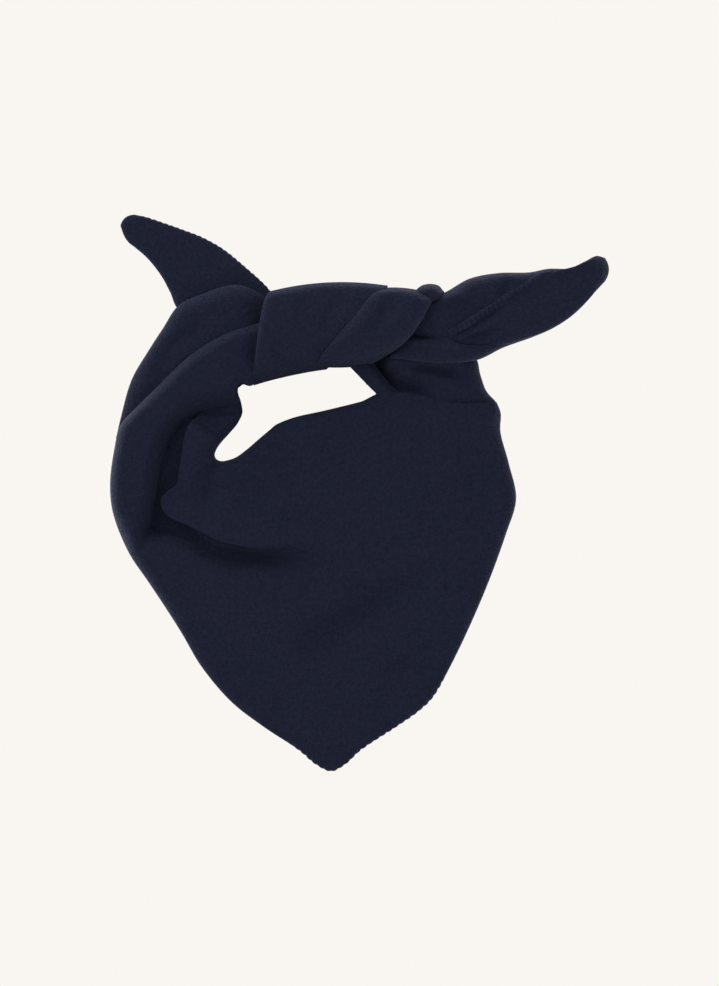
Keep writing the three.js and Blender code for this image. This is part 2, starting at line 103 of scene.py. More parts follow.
def nearestOn(path, places):
    # signed distance of each place to a line of points (left of it positive), and the share along it
    start, step = path[:-1], np.diff(path, axis=0)
    length = np.linalg.norm(step, axis=1)
    before = np.append(0, np.cumsum(length))
    off, share = np.empty(places.shape[:-1]), np.empty(places.shape[:-1])
    for row, place in enumerate(places):        # row by row, to keep the arrays small
        away = place[:, None] - start
        t = np.clip((away * step).sum(-1) / np.maximum(length**2, 1e-9), 0, 1)
        miss = away - t[..., None] * step
        far = (miss**2).sum(-1)
        best = far.argmin(1)
        pick = np.arange(len(place))
        side = step[best, 0] * away[pick, best, 1] - step[best, 1] * away[pick, best, 0]
        off[row] = np.sqrt(far[pick, best]) * np.where(side < 0, -1, 1)
        share[row] = (before[best] + t[pick, best] * length[best]) / before[-1]
    return off, share


foldLook = {
    "points": 60,           # points along a fold's path
    "fade": 0.3,            # share of the path over which it fades at an end that names no other
    "beads": (0.68, 0.32),      # a beaded fold's mean height and how far it swells and shrinks, in shares
}


def alongFold(fold, places):
    # the fold's path, each place's signed distance and share along it, and how the fold fades to its ends
    path = smoothPath(fold["path"], np.linspace(0, 1, foldLook["points"]))
    off, share = nearestOn(path, places)
    fadeIn, fadeOut = (fold.get(end, foldLook["fade"]) for end in ("fadeIn", "fadeOut"))
    return path, off, share, smoothStep(share, 0, fadeIn) * smoothStep(1 - share, 0, fadeOut)


def lapHalf(fold, share):
    # half of a lap's width, which goes from its first value to its second along the path
    return fold["lap"][0] * (1 - share) + fold["lap"][1] * share


def foldHeight(folds, places):
    # the sum of all folds. Across its path a fold is a bell. A lap is a step up to its left: a quarter circle
    # of t, the share of the way up to the power foot, which softens its foot; it falls away behind as a bell.
    # Beads swell and shrink along the path
    total = np.zeros(places.shape[:-1])
    for fold in folds:
        path, off, share, ends = alongFold(fold, places)
        across = np.exp(-((off / fold["width"]) ** 2))
        if "lap" in fold:
            half = lapHalf(fold, share)
            t = np.clip((off / half + 1) / 2, 0, 1) ** fold.get("foot", 1)
            behind = np.maximum(off - half, 0) / fold["width"]
            across = np.sqrt(np.maximum(1 - (1 - t) ** 2, 0)) * np.exp(-(behind**2))
        if "beads" in fold:
            turns = share * lengthAlong(path)[-1] / fold["beads"]
            mean, swing = foldLook["beads"]
            across = across * (mean + swing * np.cos(2 * math.pi * turns))
        total += fold["rise"] * across * ends
    return total


def leanOver(fold, places):
    # how far the cloth left of a lap's path leans out over its right: rising to the lap's top, a bell behind
    path, off, share, ends = alongFold(fold, places)
    along = np.gradient(path, axis=0)
    along /= np.linalg.norm(along, axis=1, keepdims=True)
    known = np.linspace(0, 1, len(path))
    out = np.stack([np.interp(share, known, along[:, 1]), np.interp(share, known, -along[:, 0])], axis=-1)
    half = lapHalf(fold, share)
    lean = smoothStep(off / half, -1, 1)
    lean = lean * np.exp(-((np.maximum(off - half, 0) / fold["leanBack"]) ** 2))
    return (fold["lean"] * lean * ends)[..., None] * out


def weighted(table, places, reach):
    # each place takes the mean of the table's values, weighted by one over (distance^2 + reach^2)^2
    table = np.array(table, float)
    near = ((places[..., None, :] - table[:, :2]) ** 2).sum(-1)
    weight = 1 / (near + reach**2) ** 2
    return (weight * table[:, 2]).sum(-1) / weight.sum(-1)


swell = {
    "waves": 12,
    "lengths": (0.7, 1.8),      # shortest and longest wave, in shares of the length asked for
    "sum": 5,               # this many crests on top of each other make 1
}


def unevenness(places, size, seed):
    # soft random swell, mostly between -1 and 1: the sum of plane waves about size long, in seeded directions
    draw = np.random.default_rng(seed)
    waves = swell["waves"]
    angle, phase = draw.uniform(0, math.pi, waves), draw.uniform(0, 2 * math.pi, waves)
    pitch = 2 * math.pi / (size * draw.uniform(*swell["lengths"], waves))
    way = np.stack([np.cos(angle), np.sin(angle)]) * pitch
    return np.sin(places @ way + phase).sum(-1) / swell["sum"]


def swollen(full, plan, look):
    # the heights with the swell all over, which thin stretches don't have
    rise, size = look.get("uneven", cloth["uneven"])
    return full + rise * unevenness(plan, size, look["seed"]) * smoothStep(full, *cloth["swellHeights"])


hemLoops = {
    "fade": 0.02,           # share of the side over which the bumps begin and end
    "blunt": 0.6,           # power of the half sine
    "middle": 0.6,          # of a bump's 0 to 1, what stays on the edge's own line
    "crest": 0.4,           # the hem is thickest this share of a pitch inside the edge
    "crestWidth": 2.2,      # reach of that thickening
}


def scalloped(plan, full, hem):
    # a knitted hem along the first column (side 0) or the last: round bumps of half a sine, one per pitch, as
    # bells into the cloth
    edge = plan[:, hem["side"]]
    inner = plan[:, 1 if hem["side"] == 0 else -2]
    length = lengthAlong(edge)
    share = length / length[-1]
    along = np.gradient(edge, axis=0)
    out = np.stack([along[:, 1], -along[:, 0]], axis=-1) / np.linalg.norm(along, axis=1)[:, None]
    out *= np.sign(((edge - inner) * out).sum(-1))[:, None]
    fade = hemLoops["fade"]
    ends = smoothStep(share, hem["from"], hem["from"] + fade) * smoothStep(hem["to"] - share, 0, fade)
    bump = np.abs(np.sin(math.pi * length / hem["pitch"])) ** hemLoops["blunt"]
    away = np.linalg.norm(plan - edge[:, None], axis=-1)
    push = hem["depth"] * ends * (bump - hemLoops["middle"])
    push = push[:, None] * np.exp(-((away / hem["pitch"]) ** 2))
    crest = np.exp(-(((away - hemLoops["crest"] * hem["pitch"]) / hemLoops["crestWidth"]) ** 2))
    thicker = (hem["swell"] * ends)[:, None] * bump[:, None] * crest
    return plan + push[..., None] * out[:, None], full + thicker


def rimOf(grid):
    # the outer points of a grid of rows and columns, once round
    return np.concatenate([grid[0], grid[1:, -1], grid[-1, -2::-1], grid[-2:0:-1, 0]])


def normalsOf(grid):
    across, down = np.gradient(grid, axis=1), np.gradient(grid, axis=0)
    up = np.cross(down, across)
    return up / np.maximum(np.linalg.norm(up, axis=-1, keepdims=True), 1e-9)


def evenOut(stepsDown, stepsAcross):
    # the values whose steps between neighbours come nearest to those given, by least squares
    rows, columns = len(stepsAcross), stepsDown.shape[1]
    down, across = np.diff(np.eye(rows), axis=0), np.diff(np.eye(columns), axis=0)
    wanted = down.T @ stepsDown + stepsAcross @ across
    rowSize, rowWaves = np.linalg.eigh(down.T @ down)
    columnSize, columnWaves = np.linalg.eigh(across.T @ across)
    size = rowSize[:, None] + columnSize
    size[0, 0] = 1
    return rowWaves @ ((rowWaves.T @ wanted @ columnWaves) / size) @ columnWaves.T


def stitchesOf(grid, wales):
    # stitch counts across and along the wales, as near as the surface allows to the directions given
    up = normalsOf(grid)
    along = wales - (wales * up).sum(-1, keepdims=True) * up
    along /= np.linalg.norm(along, axis=-1, keepdims=True)
    over = np.cross(along, up)
    down, across = np.diff(grid, axis=0), np.diff(grid, axis=1)

    def counted(way, pitch):
        wayDown, wayAcross = (way[1:] + way[:-1]) / 2, (way[:, 1:] + way[:, :-1]) / 2
        return evenOut((down * wayDown).sum(-1), (across * wayAcross).sum(-1)) / pitch

    return np.stack([counted(over, cloth["wale"]), counted(along, cloth["course"])], axis=-1), over, along


skin = {
    "evened": 6,            # points to either side over which the rim's values are evened out
    "reachMost": 0.9,       # a rim's reach is at most this share of the height
    "sideLoops": 9,         # loops of points from the rim down to the table
    "groove": 1.5,          # how far a fold's two layers part at its side
    "grooveWidth": 0.14,    # in shares of the height, as the next two are
    "seam": 0.68,           # where the layers part
    "seamStray": 0.1,       # how far that strays up and down
    "seamSwell": 60,        # in a swell of this length
    "oneLayer": 3.0,        # lower than this is a single layer, and has no such groove
    "twoLayers": 8.0,       # from this height on the groove is whole
    "under": (0.12, 1.6),       # how far the side goes under at the table: share of the height, and at most
    "underPower": 4,        # a higher one keeps the side upright for longer
    "cornerReach": 9,       # groove and undercut fade this near a corner
    "floorLoops": ((4, 0), (10, 0.4)),      # grid steps in from the rim, and lift off the table
    "floorSwell": 25,       # length of the swell in that lift
    "liftHeights": (2, 6),      # how high the lowest rim is where the lift sets in and where it is whole
    "capRows": 8,           # rows that the floor closes with one face at either end
}


def rimValues(rims, rows, columns):
    # each side's share and reach (first row, last column, last row, first column), once round the rim, evened
    # out over a few points at the corners
    raw = np.repeat(np.array(rims, float), [columns, rows - 1, columns - 1, rows - 2], axis=0)
    near = range(-skin["evened"], skin["evened"] + 1)
    return (sum(np.roll(raw, k, axis=0) for k in near) / len(near)).T


def skinTop(plan, full, rims):
    # the full height, falling at the rim as a quarter ellipse to a share of it
    ring = rimOf(plan)
    ring = np.vstack([ring, ring[:1]])
    off, place = nearestOn(ring, plan)
    known = lengthAlong(ring) / lengthAlong(ring)[-1]
    share, reach = (np.interp(place, known, np.append(v, v[0])) for v in rimValues(rims, *full.shape))
    t = np.clip(np.abs(off) / np.minimum(reach, skin["reachMost"] * full), 0, 1)
    arch = np.sqrt(1 - (1 - t) ** 2)
    arch[[0, -1]] = 0
    arch[:, [0, -1]] = 0
    return np.dstack([plan, full * (share + (1 - share) * arch)])


def skinSides(plan, full, top, look, grooved):
    # loops of points from the rim straight down to the table, set back as a bell where the two layers part
    # and as a blunt quarter round at the table; and which way is out
    rows, columns = full.shape
    rim, rimFull = rimOf(plan), rimOf(full)
    along = np.roll(rim, -1, axis=0) - np.roll(rim, 1, axis=0)
    out = np.stack([-along[:, 1], along[:, 0]], axis=-1) / np.linalg.norm(along, axis=1)[:, None]
    corners = rim[[0, columns - 1, columns + rows - 2, 2 * columns + rows - 3]]
    toCorner = np.linalg.norm(rim[:, None] - corners, axis=-1).min(1)
    high = np.linspace(1, 0, skin["sideLoops"] + 1)[1:, None]
    deep = skin["groove"] * smoothStep(rimFull, skin["oneLayer"], skin["twoLayers"]) * grooved
    seam = skin["seam"] + skin["seamStray"] * unevenness(rim, skin["seamSwell"], look["seed"])
    groove = deep * np.exp(-(((high - seam) / skin["grooveWidth"]) ** 2))
    underShare, underMost = skin["under"]
    bottom = 1 - np.sqrt(np.maximum(1 - (1 - high) ** skin["underPower"], 0))
    under = np.minimum(underShare * rimFull, underMost) * bottom
    back = (groove + under) * smoothStep(toCorner, 0, skin["cornerReach"])
    low = cloth["floorGap"]
    return np.dstack([rim - out * back[..., None], low + high * (rimOf(top)[:, 2] - low)]), out


def skinFloor(plan, full, seed):
    # loops of points in the floor, read off the plan some grid steps inside the rim; the inner one is uneven
    rows, columns = full.shape
    rect = rimOf(np.dstack(np.meshgrid(np.linspace(0, 1, columns), np.linspace(0, 1, rows))))
    loops = []
    for inset, lift in skin["floorLoops"]:
        column, row = (inset + rect[:, k] * (n - 1 - 2 * inset) for k, n in ((0, columns), (1, rows)))
        c, r = np.minimum(column.astype(int), columns - 2), np.minimum(row.astype(int), rows - 2)
        fc, fr = (column - c)[:, None], (row - r)[:, None]
        flat = (plan[r, c] * (1 - fc) + plan[r, c + 1] * fc) * (1 - fr)
        flat = flat + (plan[r + 1, c] * (1 - fc) + plan[r + 1, c + 1] * fc) * fr
        lifted = lift * (1 + unevenness(flat, skin["floorSwell"], seed + 1))
        lifted = lifted * smoothStep(rimOf(full).min(), *skin["liftHeights"])
        loops.append(np.column_stack([flat, cloth["floorGap"] + lifted]))
    return loops


def skinFaces(rows, columns, loopCount):
    # the top's quads, the bands between the loops, and the floor, closed straight across from side to side
    # and by one face at either end
    index = np.arange(rows * columns).reshape(rows, columns)
    quads = np.stack([index[:-1, :-1], index[1:, :-1], index[1:, 1:], index[:-1, 1:]], axis=-1).reshape(-1, 4)
    half = columns + rows - 2
    count = 2 * half
    loops = [rimOf(index)] + [rows * columns + k * count + np.arange(count) for k in range(loopCount)]
    bands = [np.stack([a, np.roll(a, -1), np.roll(b, -1), b], axis=-1) for a, b in zip(loops[:-1], loops[1:])]
    cap = skin["capRows"]
    step = np.arange(cap, rows - 1 - cap)
    right, left = columns - 1 + step, count - step
    across = loops[-1][np.stack([right, right + 1, left - 1, left], axis=-1)]
    ends = [loops[-1][np.arange(start - cap, start + columns + cap) % count] for start in (0, half)]
    return [quads, *bands, across, np.stack(ends)]


def closedSkin(plan, full, look, grooved=True):
    # top, sides and floor as one closed skin. Its map counts stitches over the top and down the sides; on the
    # floor, which is hidden, they run straight across
    top = skinTop(plan, full, look["rims"])
    sides, out = skinSides(plan, full, top, look, grooved)
    floor = skinFloor(plan, full, look["seed"])
    points = np.concatenate([top.reshape(-1, 3), sides.reshape(-1, 3), *floor])
    faces = skinFaces(*full.shape, len(sides) + len(floor))

    stitches, over, along = stitchesOf(top, look["wales"](top))
    steps = np.diff(np.concatenate([rimOf(top)[None], sides]), axis=0)
    downSide = np.cumsum(np.linalg.norm(steps, axis=-1), axis=0)
    outward = np.column_stack([out, np.zeros(len(out))])
    turn = np.stack([(rimOf(over) * outward).sum(-1) / cloth["wale"],
                     (rimOf(along) * outward).sum(-1) / cloth["course"]], axis=-1)
    sideStitches = rimOf(stitches) + downSide[..., None] * turn
    worn = np.concatenate([stitches.reshape(-1, 2), sideStitches.reshape(-1, 2)])
    pitch = np.array([cloth["wale"], cloth["course"]])
    shown = 1 + len(sides)
    uv = [worn[f.ravel()] for f in faces[:shown]] + [points[f.ravel(), :2] / pitch for f in faces[shown:]]
    return points, faces, np.concatenate(uv)


def pointNormals(points, faces):
    total = np.zeros_like(points)
    for group in faces:
        one = np.cross(points[group[:, 2]] - points[group[:, 0]], points[group[:, -1]] - points[group[:, 1]])
        for corner in group.T:
            np.add.at(total, corner, one)
    return total / np.maximum(np.linalg.norm(total, axis=1, keepdims=True), 1e-12)


def meshObject(name, points, faces, uv=None):
    mesh = bpy.data.meshes.new(name)
    corners = np.concatenate([f.ravel() for f in faces])
    sizes = np.concatenate([np.full(len(f), f.shape[1]) for f in faces])
    mesh.vertices.add(len(points))
    mesh.vertices.foreach_set("co", (points * mm).astype(np.float32).ravel())
    mesh.loops.add(len(corners))
    mesh.loops.foreach_set("vertex_index", corners.astype(np.int32))
    mesh.polygons.add(len(sizes))
    mesh.polygons.foreach_set("loop_start", np.append(0, np.cumsum(sizes)[:-1]).astype(np.int32))
    mesh.polygons.foreach_set("use_smooth", np.ones(len(sizes), bool))
    if uv is not None:
        mesh.uv_layers.new(name="stitches").data.foreach_set("uv", uv.astype(np.float32).ravel())
    mesh.update(calc_edges=True)
    mesh.validate()
    made = bpy.data.objects.new(name, mesh)
    bpy.context.scene.collection.objects.link(made)
    return made


def clothStretch(name, plan, full, look):
    # the skin, and inside it the same skin again at half as many points, one wall further in and turned
    # inside out, with the lowest height round each point, so that it stays clear of the folds. The room is
    # what the stretches under this one give way to
    points, faces, uv = closedSkin(plan, full, look)
    rows, columns = full.shape
    spread = np.pad(full, 1, mode="edge")
    lowest = np.min([spread[i:i + rows, j:j + columns] for i in range(3) for j in range(3)], axis=0)
    inside, inFaces, inUv = closedSkin(plan[::2, ::2], lowest[::2, ::2], look, grooved=False)
    way = pointNormals(inside, inFaces)
    wall = np.minimum(cloth["wall"], cloth["wallShare"] * np.maximum(inside[:, 2], cloth["wallFrom"]))
    lining = inside - way * wall[:, None]
    lining[:, 2] = np.maximum(lining[:, 2], cloth["floorGap"])
    turned = [f[:, ::-1] + len(points) for f in inFaces]
    starts = np.cumsum([0] + [f.size for f in inFaces[:-1]])
    turnedUv = [inUv[start:start + f.size].reshape(*f.shape, 2)[:, ::-1].reshape(-1, 2)
                for f, start in zip(inFaces, starts)]
    made = meshObject(name, np.concatenate([points, lining]), faces + turned, np.concatenate([uv, *turnedUv]))
    room = meshObject(name + "_room", inside - way * cloth["press"], inFaces)
    return made, room


front = {
    # outer x, outer y, inner x, inner y: from the knot's left, round the opening to its right
    "sections": [
        (-58, 120, -64, 94), (-71, 118.6, -76, 74.9), (-86, 115, -84, 76), (-100, 108.5, -85.6, 71),
        (-113, 100.5, -83.6, 64), (-124, 91.7, -82.5, 57), (-134, 82, -83.2, 53.8), (-144, 72, -84.8, 50.5),
        (-157, 59, -87, 47), (-167.5, 47, -90, 43.5), (-172, 29, -93, 40), (-174.6, 9, -96, 36.5),
        (-174, -7, -98.6, 33), (-171, -20, -100.4, 29.6), (-166, -33, -101.2, 27), (-160, -45, -101, 25),
        (-149, -61, -100.2, 23.6), (-137, -79, -98.5, 22.6), (-125, -98, -96, 22.3),
        (-111.5, -121, -92.5, 23), (-91, -145.5, -87, 25), (-68, -163.5, -80, 30), (-43, -180, -73, 36),
        (-31, -190, -69, 39.5), (-20.5, -194.6, -66, 42), (-11, -190, -63, 44.5), (0, -180, -59, 47.8),
        (25, -163.5, -49, 52), (40, -153, -42, 54), (50, -143.5, -36, 55.3), (63, -121, -28, 57),
        (86, -71, -14, 60.3), (101.6, -29, -4, 62.8), (108.8, -4, 1.4, 64.3), (103.6, 21, 6.5, 66.9),
        (97.8, 43, 10, 68.7), (98, 56, 10.8, 69.2), (95, 63.5, 11.3, 69.6),
    ],
    # the last rows bend to this curve, from that share of the rows on
    "topEdge": [(95, 63.5), (64, 63), (33, 70), (11.3, 69.6)],
    "topEdgeFrom": 0.5,
    # x, y, height; and how far each reaches
    "heights": [
        (-64, 108, 7), (-70, 96, 7), (-84, 96, 11), (-100, 88, 12), (-118, 78, 12), (-140, 62, 11.5),
        (-155, 40, 11), (-161, 12, 9.5), (-161, -12, 8.5), (-92, 62, 9), (-105, 59, 9), (-118, 54, 9),
        (-128, 44, 9), (-127, 30, 9), (-134, 36, 9), (-132, 18, 9), (-138, 8, 8), (-141, -2, 6),
        (-144, -13, 4), (-147, -22, 4), (-100, 48, 10), (-112, 30, 11), (-112, 5, 11), (-130, -8, 7),
        (-120, -9, 10), (-138, -37, 17), (-122, -43, 17), (-104, -54, 16), (-84, -58, 15), (-99, 24, 15),
        (-92, 8, 17), (-76, 20, 17), (-30, 46, 15.5), (28, 58, 15), (60, 58, 15.5), (86, 54, 15),
        (98, 40, 12.5), (98, 0, 11), (76, -84, 9), (0, 0, 15), (-70, -20, 15), (-152, -36, 17),
        (-140, -55, 16), (-118, -70, 14.5), (-118, -102, 10), (-70, -75, 13), (-5, -115, 8.5),
        (-84, -140, 6), (43, -138, 6), (-20, -162, 4.5), (-56, -171, 2.8), (13, -171, 2.8),
        (-20, -191, 2.6),
    ],
    "heightReach": 9,
    "folds": [
        # the roll, beside its valley
        {"path": [(-162, -48), (-157, -34), (-152, -20), (-148.5, -6), (-146.8, 5), (-144, 22), (-139, 38),
                  (-130.8, 50.5), (-120, 59.8), (-106, 65.5), (-93, 68), (-80, 69), (-62, 73), (-40, 82),
                  (-15, 96)],
         "rise": 18, "width": 300, "lap": (4.5, 8.5), "foot": 1.8, "fadeIn": 0.14, "fadeOut": 0.01},
        # the roll's crest
        {"path": [(-113, 44), (-114, 30), (-115, 12), (-117, -3), (-120, -13)],
         "rise": 3.5, "width": 8, "fadeIn": 0.15, "fadeOut": 0.4},
        # where the inner fold starts above the pocket
        {"path": [(-96, 30), (-101, 37), (-108, 43.5), (-117, 51), (-124, 56)],
         "rise": 3, "width": 14, "lap": (1.5, 1.5), "fadeIn": 0.25, "fadeOut": 0.3},
        # top edge of the cloth seen in the pocket
        {"path": [(-74, 56.5), (-84, 55), (-98, 53), (-112, 51), (-119, 50)],
         "rise": 2.5, "width": 9, "lap": (1.2, 1.2), "fadeIn": 0.05, "fadeOut": 0.25},
        # hollow under the corner of the opening
        {"path": [(-101, 21), (-102, 11), (-99, 0), (-95, -10)],
         "rise": -3, "width": 7, "fadeIn": 0.1, "fadeOut": 0.5},
        # trough across the front
        {"path": [(-147, -19), (-139, -22.5), (-131, -25), (-122.5, -28.5), (-113.5, -33.5),
                  (-105.5, -38.5), (-97.5, -42), (-85, -44.5), (-66, -46), (-45, -48), (-22, -53),
                  (0, -59)],
         "rise": -17, "width": 5.5, "fadeIn": 0.05, "fadeOut": 0.9},
        # edge over the valley and that trough, which leans out over them
        {"path": [(-105, 61), (-113, 51.5), (-117.5, 43), (-119.5, 34), (-121, 25), (-122.5, 15), (-124, 6),
                  (-129, 0.5), (-135.5, -4), (-135.5, -9), (-131, -14), (-122.5, -17.5), (-111, -23),
                  (-103, -27.5), (-95.5, -31), (-76.5, -35), (-62, -36), (-36, -39), (-14, -47)],
         "rise": 9, "width": 26, "lap": (2.2, 3.4), "fadeIn": 0.1, "fadeOut": 0.5, "lean": 6, "leanBack": 11},
        # soft end of the trough
        {"path": [(-112, -40), (-94, -46), (-70, -48.5), (-45, -51), (-15, -57)],
         "rise": -4, "width": 9, "fadeIn": 0.3, "fadeOut": 0.6},
        # broad swell under it
        {"path": [(-118, -62), (-62, -74), (-18, -71), (14, -62)], "rise": 3.5, "width": 15},
        # slanting hollow in the lower front
        {"path": [(-48, -108), (-18, -100), (4, -90), (26, -71), (39, -48)],
         "rise": -5, "width": 13, "fadeOut": 0.35},
        # faint crease above the right hem
        {"path": [(-26, -139), (10, -127), (38, -114), (64, -101)],
         "rise": -0.9, "width": 2.2, "fadeIn": 0.2, "fadeOut": 0.2},
    ],
    # x, y, direction of the wales in degrees from +X; and how far each reaches
    "grain": [
        (-20, -150, 88), (-60, -110, 70), (-120, -60, 60), (-20, -80, 90), (30, -60, 92), (40, -10, 113),
        (20, 30, 128), (-40, 20, 135), (80, 40, 125), (-98, 10, 118), (-115, 20, 100), (80, -60, 100),
        (-160, 0, 78), (-150, 45, 52), (-120, 78, 36), (-80, 100, 18),
    ],
    "grainReach": 25,
    "uneven": (0.35, 34),
    "rows": 471, "columns": 127,
    "rimShares": (0.012, 0.07),         # of the rows and the columns, over which the grid is closer
    "rowSteps": (0.7, 0.3),             # a row's step, in shares of the outer and the inner curve's
    "closeRows": (19, 30, 2.3),         # from and to this section the rows lie this much closer, for the hem
    "curveSteps": 60,                   # steps of the two curves for each section
    "rims": ((0.6, 6), (0.5, 6), (0.97, 2), (0.55, 8)),         # share and reach of each side
    "hem": {"side": 0, "pitch": 5.3, "depth": 0.8, "swell": 0.5, "from": 0.535, "to": 0.735},
    "seed": 11,
    "flat": (0.31, 0.46), "area": 0.13,
}


def frontWales(top):
    angle = np.radians(weighted(front["grain"], top[..., :2], front["grainReach"]))
    return np.dstack([np.cos(angle), np.sin(angle), np.zeros_like(angle)])


def frontStretch():
    # ruled from the outer to the inner curve through the sections; the last rows bend to the top edge's curve
    sections = np.array(front["sections"], float)
    dense = np.linspace(0, 1, front["curveSteps"] * len(sections))
    curves = [knotCurve(sections[:, columns], dense) for columns in ([0, 1], [2, 3])]
    outerStep, innerStep = (np.linalg.norm(np.diff(curve, axis=0), axis=1) for curve in curves)
    step = front["rowSteps"][0] * outerStep + front["rowSteps"][1] * innerStep
    first, last, closer = front["closeRows"]
    place = dense[1:] * (len(sections) - 1)
    close = smoothStep(place, first - 1, first) * smoothStep(last + 1 - place, 0, 1)
    length = np.append(0, np.cumsum(step * (1 + (closer - 1) * close)))
    v, u = crowded(front["rows"], front["rimShares"][0]), crowded(front["columns"], front["rimShares"][1])
    at = np.interp(v * length[-1], length, dense)
    outer, inner = (knotCurve(sections[:, columns], at) for columns in ([0, 1], [2, 3]))
    plan = outer[:, None] * (1 - u)[:, None] + inner[:, None] * u[:, None]
    bend = smoothPath(front["topEdge"], u) - plan[-1]
    plan = plan + smoothStep(v, front["topEdgeFrom"], 1)[:, None, None] * bend
    over = sum(leanOver(fold, plan) for fold in front["folds"] if "lean" in fold)
    full = weighted(front["heights"], plan, front["heightReach"]) + foldHeight(front["folds"], plan)
    full = swollen(np.maximum(full, cloth["thinnest"]), plan, front)
    plan, full = scalloped(plan + over, full, front["hem"])
    return clothStretch("front_cloth", plan, full, {**front, "wales": frontWales})


